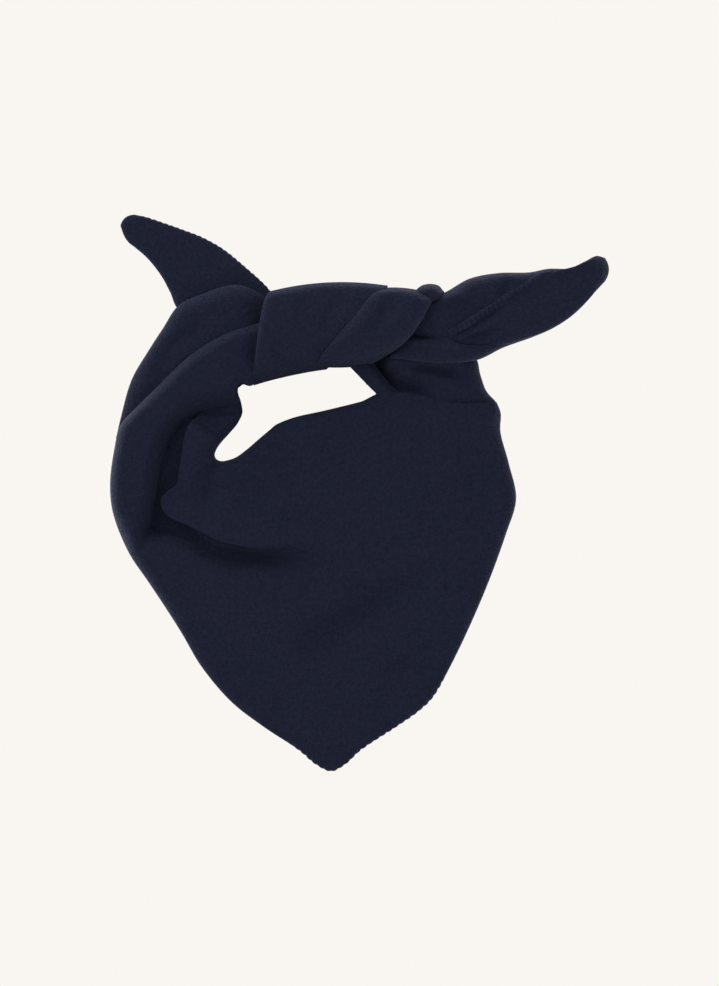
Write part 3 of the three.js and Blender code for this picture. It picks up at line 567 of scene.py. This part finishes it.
# Sections: x and y of the first column, x and y of the last, height. Bows: how far the two ends bulge.
# Rims: share and reach of the first row, last column, last row, first column. Turn: of the wales, in degrees
stretches = {
    "knot_wrap_right": {
        "sections": [
            (11, 142.3, 42, 141, 33), (6.5, 137, 50, 135.5, 37.5), (-2.5, 125, 46, 126, 40.5),
            (-11.5, 114.5, 40.5, 116.5, 42), (-19.5, 105, 35.5, 109.5, 42), (-26, 97, 28, 102, 39),
            (-30, 91.3, 19.5, 96.5, 33), (-31, 88.3, 8, 89.8, 26),
        ],
        "bows": (1.5, 1.5), "rims": ((0.6, 4.5), (0.76, 8), (0.4, 9), (0.88, 9)),
        "folds": [
            {"path": [(27, 140), (17, 122), (0, 106)], "rise": -2, "width": 6},
            {"path": [(42, 134), (35, 118), (20, 104)],
             "rise": -1.5, "width": 5, "fadeIn": 0.2, "fadeOut": 0.4},
        ],
        "rows": 91, "columns": 81, "turn": 20, "seed": 21, "flat": (0.12, 0.085),
    },
    "knot_wrap_left": {
        "sections": [
            (-63.5, 140.5, 19, 144.5, 30), (-66.5, 135, 18, 139, 33), (-69, 125, 12, 128, 35.5),
            (-71, 113, 4, 116, 37), (-72.5, 101, -6, 104, 36.5), (-74, 88, -14, 95, 32),
            (-75.4, 80, -20, 89.5, 26), (-74.6, 75.2, -24, 86.3, 19),
        ],
        "bows": (4.3, -1), "rims": ((0.6, 4.5), (0.9, 6), (0.45, 8), (0.9, 5)),
        "folds": [
            {"path": [(-44, 138), (-38, 118), (-44, 96)], "rise": -1.5, "width": 7, "fadeOut": 0.4},
            {"path": [(-60, 100), (-55, 95), (-50, 91)], "rise": -1.5, "width": 3},
            {"path": [(-14, 140), (-24, 118), (-36, 100)], "rise": -1.5, "width": 6, "fadeOut": 0.4},
        ],
        "rows": 91, "columns": 101, "turn": 10, "seed": 22, "flat": (0.15, 0.11),
    },
    "right_tail": {
        "sections": [
            (20, 94, 34, 132, 27), (36, 92.3, 45, 136, 29.5), (54, 90.5, 58, 139.6, 29.5),
            (81.3, 92.7, 76, 149.6, 25), (100, 101.5, 96, 153.6, 21), (120, 108.7, 118, 154.2, 17.5),
            (134, 114.8, 131, 156.7, 14.5), (146, 122.4, 146, 157.2, 12), (155, 130.4, 157, 162, 11),
            (163, 139.4, 165, 165.8, 10), (171, 148, 171, 164.4, 7.5),
        ],
        "bows": (0, 2.8), "rims": ((0.8, 6), (0.5, 8), (0.5, 6), (0.75, 5)),
        "folds": [
            # ridge along the lower layer
            {"path": [(31, 107), (44, 104.4), (60, 103), (73, 101.6), (97, 101)],
             "rise": 2.6, "width": 1.9, "beads": 7, "fadeIn": 0.1, "fadeOut": 0.2},
            # crease beside it
            {"path": [(30, 110.5), (42, 108.3), (50, 107), (58, 105.5)],
             "rise": -6, "width": 2.2, "fadeIn": 0.1, "fadeOut": 0.6},
            # the end's upper bulge
            {"path": [(50, 133), (60, 136), (78, 137.5)], "rise": 2.5, "width": 4.5},
            # dent across it
            {"path": [(97, 134), (101, 142), (104, 151)], "rise": -2, "width": 4},
            # trough between the layers
            {"path": [(60, 107.5), (78, 108.5), (90, 111), (100, 115)],
             "rise": -9, "width": 6, "fadeIn": 0.45, "fadeOut": 0.4},
            # hollow of the lower layer
            {"path": [(40, 98), (60, 96), (80, 97)], "rise": -1.5, "width": 4},
        ],
        "rows": 141, "columns": 91, "turn": 35, "seed": 23, "flat": (0.1, 0.13),
    },
    "right_tail_flap": {
        "sections": [
            (55, 104, 53, 110.5, 28), (68, 103.4, 64.5, 115, 29.3), (82, 102.4, 75.5, 122, 27.6),
            (96, 102.4, 88, 130, 24.4), (112, 106.5, 98.5, 137.2, 21), (126, 111.3, 110.5, 145, 18.6),
            (138.5, 117.5, 126, 153.6, 16.5), (148, 124.2, 137, 155.2, 14), (156.5, 132, 150, 158.4, 12),
            (164, 140.6, 163, 163.7, 10.4), (169, 148, 168, 164.2, 5),
        ],
        "bows": (0, 2.2), "rims": ((0.97, 2), (0.93, 1.8), (0.5, 5), (0.8, 9)),
        "folds": [
            # hem of the flap
            {"path": [(55, 109), (66, 113), (75.5, 119), (85.5, 125.2), (100, 134.5), (110.5, 141.3),
                      (123, 148.5), (130, 153)],
             "rise": 2.4, "width": 2.2, "beads": 3.7, "fadeIn": 0.03, "fadeOut": 0.15},
            # second row of its beads
            {"path": [(66, 106.5), (79.5, 112.8), (88, 117.5), (95, 122), (108, 129)],
             "rise": 1.6, "width": 1.7, "beads": 3.7, "fadeIn": 0.1, "fadeOut": 0.5},
            # crease between them
            {"path": [(63, 108.8), (80, 117), (88, 122), (95, 126.8), (104, 133)],
             "rise": -1.8, "width": 1.5, "fadeIn": 0.1, "fadeOut": 0.35},
            # the lower layer's trough, carried on
            {"path": [(64, 107), (78, 108), (90, 110.5), (102, 115)],
             "rise": -5.5, "width": 5, "fadeIn": 0.45, "fadeOut": 0.5},
        ],
        "rows": 161, "columns": 71, "turn": 35, "seed": 24, "flat": (0.08, 0.13),
    },
    "knot_fold": {
        "sections": [
            (40, 135.5, 40, 142.8, 30), (43.5, 134, 43.5, 145, 33.5), (49, 133, 49, 145.8, 34),
            (54.5, 134, 54.5, 144.6, 31), (57.5, 136.5, 57.6, 141.2, 27),
        ],
        "bows": (1.5, 1.2), "rims": ((0.9, 5), (0.5, 6), (0.6, 5), (0.85, 4)),
        "rows": 41, "columns": 41, "turn": 0, "seed": 25, "flat": (0.05, 0.04),
    },
    "left_outer_fold": {
        "sections": [
            (-56, 130, -56, 110, 10), (-65, 137, -63, 110, 11), (-87, 145.5, -74, 110, 19),
            (-109, 139.5, -84, 107, 21), (-127, 131, -94, 100, 20), (-138, 115, -106, 92, 19.5),
            (-149, 98, -120, 80, 18.5), (-160, 79, -134, 66, 16), (-168, 51, -150, 50, 12),
            (-171, 38, -160, 40, 9),
        ],
        "bows": (0, 0), "rims": ((0.8, 6), (0.8, 6), (0.5, 6), (0.5, 11)),
        "folds": [
            {"path": [(-150, 76), (-130, 103), (-102, 122)], "rise": -1.5, "width": 6},
        ],
        "rows": 151, "columns": 61, "turn": 30, "seed": 27, "flat": (0.085, 0.12),
    },
    "neck_strip": {
        "sections": [
            (33, 61, 14, 59, 14.5), (30.5, 67.5, 13, 65.4, 15), (25.5, 72, 11, 69.2, 15.8),
            (21.5, 75.3, 7.2, 73, 16.8), (16, 82, 1.2, 79.2, 18), (11, 88.5, -4.6, 85.2, 18.5),
            (6, 95, -10.4, 91.2, 18), (0, 102, -16, 97, 16),
        ],
        "bows": (0, 0), "rims": ((0.95, 4), (0.5, 6), (0.9, 4), (0.45, 6)),
        "stands": "right_neck",     # the solid that it takes the place of
        "joined": "front",          # the upper stretch that it runs on into, uncut
        "rows": 61, "columns": 31, "turn": 30, "seed": 30, "flat": (0.035, 0.055),
    },
    "right_neck": {
        "sections": [
            (4, 76, -6, 98, 10), (16, 70, 14, 101, 11), (24, 62, 34, 100, 12.5), (46, 58, 58, 99, 14.5),
            (62, 56, 79.5, 96, 15), (76, 54, 84, 82, 14.5), (86, 53, 88, 71.3, 13.5),
            (92, 54, 94.5, 64, 12),
        ],
        "bows": (0, 0), "rims": ((0.8, 6), (0.5, 6), (0.5, 5), (0.8, 6)),
        "folds": [
            # the pleat under the end
            {"path": [(14, 94), (34, 92.5), (56, 92), (82, 92)],
             "rise": 9, "width": 7, "fadeIn": 0.1, "fadeOut": 0.45},
            # second pleat
            {"path": [(24, 86), (38, 83.5), (62, 80), (84, 72)], "rise": 3, "width": 5, "fadeIn": 0.1},
            # dent at the front's top edge
            {"path": [(56, 63), (72, 61.5), (94, 61)],
             "rise": -1.5, "width": 3, "fadeIn": 0.2, "fadeOut": 0.05},
            # hollow beside the neck strip
            {"path": [(6, 92), (14, 84), (20, 77), (27, 73), (42, 70), (60, 66)],
             "rise": -7, "width": 6.5, "fadeIn": 0.05, "fadeOut": 0.4},
            # crease between the pleats
            {"path": [(24, 90), (45, 87.6), (58, 85), (67, 81.4), (78, 75)],
             "rise": -6.5, "width": 4.2, "fadeIn": 0.4, "fadeOut": 0.4},
        ],
        "rows": 121, "columns": 81, "turn": 40, "seed": 28, "flat": (0.06, 0.1),
    },
    "left_tail": {
        "sections": [
            (-168, 187, -158, 194.8, 3.6), (-165.5, 180, -150, 193, 4.2), (-162.5, 175.5, -138, 189, 4.6),
            (-157.5, 171.5, -124, 184, 5), (-149, 164, -110, 178.5, 5.5), (-139.5, 152, -96, 170.5, 6),
            (-133, 140, -83, 160, 7), (-128, 129, -63, 141, 8), (-110, 118, -58, 130, 8),
        ],
        "bows": (2.4, 0), "rims": ((0.5, 6), (0.5, 6), (0.5, 6), (0.5, 6)),
        "hem": {"side": -1, "pitch": 4.2, "depth": 0.6, "swell": 0.4, "from": 0.02, "to": 0.93},
        "rows": 161, "columns": 61, "turn": -20, "seed": 29, "flat": (0.06, 0.12),
    },
}


def longStretch(name, look):
    # ruled between two side curves through the sections, its two ends bowed outwards as parabolas
    sections = np.array(look["sections"], float)
    dense = np.linspace(0, 1, cloth["curveSteps"] * len(sections))
    sides = [knotCurve(sections[:, columns], dense) for columns in ([0, 1, 4], [2, 3, 4])]
    length = lengthAlong((sides[0] + sides[1])[:, :2] / 2)
    width = np.linalg.norm((sides[0] - sides[1])[:, :2], axis=1).mean()
    v = crowded(look["rows"], min(cloth["rimMost"][0], cloth["rimZone"] / length[-1]))
    u = crowded(look["columns"], min(cloth["rimMost"][1], cloth["rimZone"] / width))
    near, far = (np.stack([np.interp(v * length[-1], length, c) for c in side.T], axis=-1) for side in sides)
    plan = near[:, None, :2] * (1 - u)[:, None] + far[:, None, :2] * u[:, None]
    for row, bow, share in ((0, look["bows"][0], 1 - v), (-1, -look["bows"][1], v)):
        over = (far[row] - near[row])[:2]
        way = np.array([-over[1], over[0]]) / np.linalg.norm(over)
        plan = plan + (share[:, None] * bow * 4 * u * (1 - u))[..., None] * way
    full = np.maximum(near[:, 2][:, None] + foldHeight(look.get("folds", ()), plan), cloth["thinnest"])
    full = swollen(full, plan, look)
    if "hem" in look:
        plan, full = scalloped(plan, full, look["hem"])

    def wales(top):
        down = np.gradient(top, axis=0)
        down /= np.linalg.norm(down, axis=-1, keepdims=True)
        over = np.cross(down, normalsOf(top))
        lean = math.radians(look["turn"])
        return down * math.cos(lean) + over * math.sin(lean)

    return clothStretch(name + "_cloth", plan, full, {**look, "wales": wales})


def boxOf(thing):
    co = np.empty(len(thing.data.vertices) * 3, np.float32)
    thing.data.vertices.foreach_get("co", co)
    co = co.reshape(-1, 3)
    return co.min(0), co.max(0)


def giveWay(order, made, rooms):
    # cuts from each stretch the rooms of those on top of it that its box meets, and then drops the rooms
    for i, name in enumerate(order):
        low, high = boxOf(made[name])
        for upper in order[:i]:
            upperLow, upperHigh = boxOf(rooms[upper])
            joined = stretches.get(name, {}).get("joined") == upper
            if not joined and (upperLow < high).all() and (low < upperHigh).all():
                cut = made[name].modifiers.new(upper, "BOOLEAN")
                cut.operation, cut.solver, cut.object = "DIFFERENCE", "MANIFOLD", rooms[upper]
    bpy.context.view_layer.update()
    graph = bpy.context.evaluated_depsgraph_get()
    trimmed = {name: bpy.data.meshes.new_from_object(made[name].evaluated_get(graph)) for name in order}
    for name in order:
        made[name].modifiers.clear()
        made[name].data = trimmed[name]
        trimmed[name].set_sharp_from_angle(angle=math.radians(cloth["sharpFrom"]))
        bpy.data.objects.remove(rooms[name])


order = ["knot_fold", "knot_wrap_right", "knot_wrap_left", "right_tail_flap", "right_tail", "front",
         "neck_strip", "left_outer_fold", "right_neck", "left_tail"]        # what lies on top comes first

made, rooms = {}, {}
for name in order:
    made[name], rooms[name] = frontStretch() if name == "front" else longStretch(name, stretches[name])
print("stretches made:", sum(len(o.data.polygons) for o in made.values()), "faces")

giveWay(order, made, rooms)
print("stretches trimmed:", sum(len(o.data.polygons) for o in made.values()), "faces")


yarn = {
    "navy": (0.0138, 0.0170, 0.0424, 1),        # on the stitches' tops
    "hollow": (0.0100, 0.0123, 0.0308, 1),      # between them: painted shade in their hollows
    "roughness": 0.9,
    "specular": 0.25,
    "sheen": 0.09,              # the nap's pale edge where the cloth turns away
    "sheenRoughness": 0.42,
    "sheenTint": (0.52, 0.62, 0.92, 1),
    "legLean": 0.8,             # how much higher a stitch's leg ends than it starts, in stitches
    "legSwell": (0.4, 0.6),     # how far a leg's height swings along the wale, and about what
    "sway": (150, 1),           # scale and detail of the soft noise that moves the stitches about
    "drift": 1.0,               # by up to this many stitches
    "fuzz": (400, 2),           # scale and detail of the nap's noise
    "mottle": 3.6,              # its strength beside the stitches' height
    "relief": 0.00025,          # depth of the bump, in metres
}


def calc(tree, operation, *values):
    # a sum in a node tree, whose values are numbers or other nodes' outputs
    step = tree.nodes.new("ShaderNodeMath")
    step.operation = operation
    for socket, value in zip(step.inputs, values):
        if isinstance(value, (int, float)):
            socket.default_value = value
        else:
            tree.links.new(value, socket)
    return step.outputs[0]


def stitchGroup():
    # a V for each stitch: two legs, high in their middles, leaning up and out from the stitch's centre line
    group = bpy.data.node_groups.new("knitStitches", "ShaderNodeTree")
    group.interface.new_socket("Stitches", in_out="INPUT", socket_type="NodeSocketVector")
    group.interface.new_socket("Height", in_out="OUTPUT", socket_type="NodeSocketFloat")
    source, sink = group.nodes.new("NodeGroupInput"), group.nodes.new("NodeGroupOutput")
    split = group.nodes.new("ShaderNodeSeparateXYZ")
    group.links.new(source.outputs["Stitches"], split.inputs[0])
    across = calc(group, "SUBTRACT", calc(group, "FRACT", split.outputs[0]), 0.5)
    fromCentre = calc(group, "MULTIPLY", calc(group, "ABSOLUTE", across), 2)
    leg = calc(group, "SINE", calc(group, "MULTIPLY", fromCentre, math.pi))
    higher = calc(group, "MULTIPLY", fromCentre, yarn["legLean"])
    lean = calc(group, "SUBTRACT", split.outputs[1], higher)
    turn = calc(group, "SINE", calc(group, "MULTIPLY", lean, 2 * math.pi))
    rounded = calc(group, "MULTIPLY_ADD", turn, *yarn["legSwell"])
    group.links.new(calc(group, "MULTIPLY", leg, rounded), sink.inputs["Height"])
    return group


def cashmere():
    # the height is the stitches', moved about by the sway, plus the nap's noise about its middle; it gives
    # both the bump and the place between the two colours, which it may pass. The darker colour low between
    # the stitches is painted shade in their hollows; the nap's noise mottles it at random
    material = bpy.data.materials.new("cashmereKnit")
    material.use_nodes = True
    tree = material.node_tree
    nodes, links = tree.nodes, tree.links
    shader = nodes["Principled BSDF"]
    shader.inputs["Roughness"].default_value = yarn["roughness"]
    shader.inputs["Specular IOR Level"].default_value = yarn["specular"]
    shader.inputs["Sheen Weight"].default_value = yarn["sheen"]
    shader.inputs["Sheen Roughness"].default_value = yarn["sheenRoughness"]
    shader.inputs["Sheen Tint"].default_value = yarn["sheenTint"]
    counts = nodes.new("ShaderNodeUVMap")
    counts.uv_map = "stitches"
    knit = nodes.new("ShaderNodeGroup")
    knit.node_tree = stitchGroup()
    place = nodes.new("ShaderNodeTexCoord")
    fuzz, sway = nodes.new("ShaderNodeTexNoise"), nodes.new("ShaderNodeTexNoise")
    for noise, (scale, detail) in ((fuzz, yarn["fuzz"]), (sway, yarn["sway"])):
        noise.inputs["Scale"].default_value = scale
        noise.inputs["Detail"].default_value = detail
        links.new(place.outputs["Object"], noise.inputs["Vector"])
    moved = nodes.new("ShaderNodeVectorMath")
    moved.operation = "MULTIPLY_ADD"
    moved.inputs[1].default_value = (yarn["drift"], yarn["drift"], 0)
    links.new(sway.outputs["Color"], moved.inputs[0])
    links.new(counts.outputs[0], moved.inputs[2])
    links.new(moved.outputs[0], knit.inputs[0])
    nap = calc(tree, "SUBTRACT", fuzz.outputs["Fac"], 0.5)
    height = calc(tree, "MULTIPLY_ADD", nap, yarn["mottle"], knit.outputs["Height"])
    # painted shade: darker where the stitches' height is low, and mottled at random by the nap's noise
    shadeAndMottle = nodes.new("ShaderNodeMix")
    shadeAndMottle.data_type = "RGBA"
    shadeAndMottle.clamp_factor = False
    shadeAndMottle.inputs["A"].default_value = yarn["hollow"]
    shadeAndMottle.inputs["B"].default_value = yarn["navy"]
    links.new(height, shadeAndMottle.inputs["Factor"])
    links.new(shadeAndMottle.outputs["Result"], shader.inputs["Base Color"])
    bump = nodes.new("ShaderNodeBump")
    bump.inputs["Distance"].default_value = yarn["relief"]
    links.new(height, bump.inputs["Height"])
    links.new(bump.outputs[0], shader.inputs["Normal"])
    return material


knitCashmere = cashmere()
for name in order:
    piece = made[name]
    look = front if name == "front" else stretches[name]
    stands = ("front", "left_roll") if name == "front" else (look.get("stands", name),)
    piece.data.materials.clear()
    piece.data.materials.append(knitCashmere)
    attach(piece, "root")
    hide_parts(*stands)
print("cashmere on every stretch")


studio = {
    "frameHeight": 0.6902,      # what the picture takes in from top to bottom, in metres as all that follows
    "cameraHeight": 4.0,
    "cameraX": -0.0007,
    "seesTo": 50,
    "sensor": 36,               # this one in millimetres
    "tableHalf": 8,
    "tableLevel": -0.0001,
    "table": (0.947, 0.922, 0.88, 1),
    "tableGlow": 2.5,           # how brightly the sheet lights the cloth from around it
    "opening": (-0.03, 0.09, 0),        # under the neck opening it stays dark
    "glowFrom": (0.06, 0.16),   # this far from there it starts to glow, and then glows fully
    "sky": (0.92, 0.94, 1.0, 1),
    "skyStrength": 0.54,
    "lampPlace": (-1.6, 1.1, 1.7),
    "lampSize": 1.6,
    "lampPower": 18,
}


def paperTable():
    # a sheet of one even colour to the eye; the light that it throws on the cloth grows with the distance
    # from the neck opening
    half, level = studio["tableHalf"], studio["tableLevel"]
    corners = [(x, y, level) for x, y in ((-half, -half), (half, -half), (half, half), (-half, half))]
    mesh = bpy.data.meshes.new("table")
    mesh.from_pydata(corners, [], [(0, 1, 2, 3)])
    table = bpy.data.objects.new("table", mesh)
    bpy.context.scene.collection.objects.link(table)
    paint = bpy.data.materials.new("tablePaint")
    paint.use_nodes = True
    nodes, links = paint.node_tree.nodes, paint.node_tree.links
    nodes.remove(nodes["Principled BSDF"])
    seen, thrown = nodes.new("ShaderNodeEmission"), nodes.new("ShaderNodeEmission")
    ray, mix = nodes.new("ShaderNodeLightPath"), nodes.new("ShaderNodeMixShader")
    place, far, rising = (nodes.new("ShaderNode" + kind) for kind in ("TexCoord", "VectorMath", "MapRange"))
    seen.inputs["Color"].default_value = studio["table"]
    far.operation = "DISTANCE"
    far.inputs[1].default_value = studio["opening"]
    rising.inputs["From Min"].default_value, rising.inputs["From Max"].default_value = studio["glowFrom"]
    rising.inputs["To Max"].default_value = studio["tableGlow"]
    links.new(place.outputs["Object"], far.inputs[0])
    links.new(far.outputs["Value"], rising.inputs["Value"])
    links.new(rising.outputs["Result"], thrown.inputs["Strength"])
    links.new(ray.outputs["Is Camera Ray"], mix.inputs[0])
    links.new(thrown.outputs[0], mix.inputs[1])
    links.new(seen.outputs[0], mix.inputs[2])
    links.new(mix.outputs[0], nodes["Material Output"].inputs["Surface"])
    mesh.materials.append(paint)


def softLight():
    # a pale sky all round and one large lamp, turned to the middle of the table
    world = bpy.data.worlds.new("studio")
    world.use_nodes = True
    world.node_tree.nodes["Background"].inputs["Color"].default_value = studio["sky"]
    world.node_tree.nodes["Background"].inputs["Strength"].default_value = studio["skyStrength"]
    bpy.context.scene.world = world
    light = bpy.data.lights.new("softLamp", "AREA")
    light.size, light.energy = studio["lampSize"], studio["lampPower"]
    lamp = bpy.data.objects.new("softLamp", light)
    lamp.location = studio["lampPlace"]
    aim = -np.array(studio["lampPlace"])
    tilt = math.acos(-aim[2] / np.linalg.norm(aim))
    turn = math.atan2(aim[1], aim[0]) - math.pi / 2
    lamp.rotation_euler = (tilt, 0, turn)
    lamp.visible_camera = False
    bpy.context.scene.collection.objects.link(lamp)


def overheadCamera():
    lens = bpy.data.cameras.new("overhead")
    lens.sensor_fit = "VERTICAL"
    lens.sensor_height = lens.sensor_width = studio["sensor"]
    lens.lens = studio["sensor"] * studio["cameraHeight"] / studio["frameHeight"]
    lens.clip_end = studio["seesTo"]
    camera = bpy.data.objects.new("overhead", lens)
    camera.location = (studio["cameraX"], 0, studio["cameraHeight"])
    bpy.context.scene.collection.objects.link(camera)
    bpy.context.scene.camera = camera
    bpy.context.scene.view_settings.view_transform = "Standard"


paperTable()
softLight()
overheadCamera()
print("table, light and camera ready")
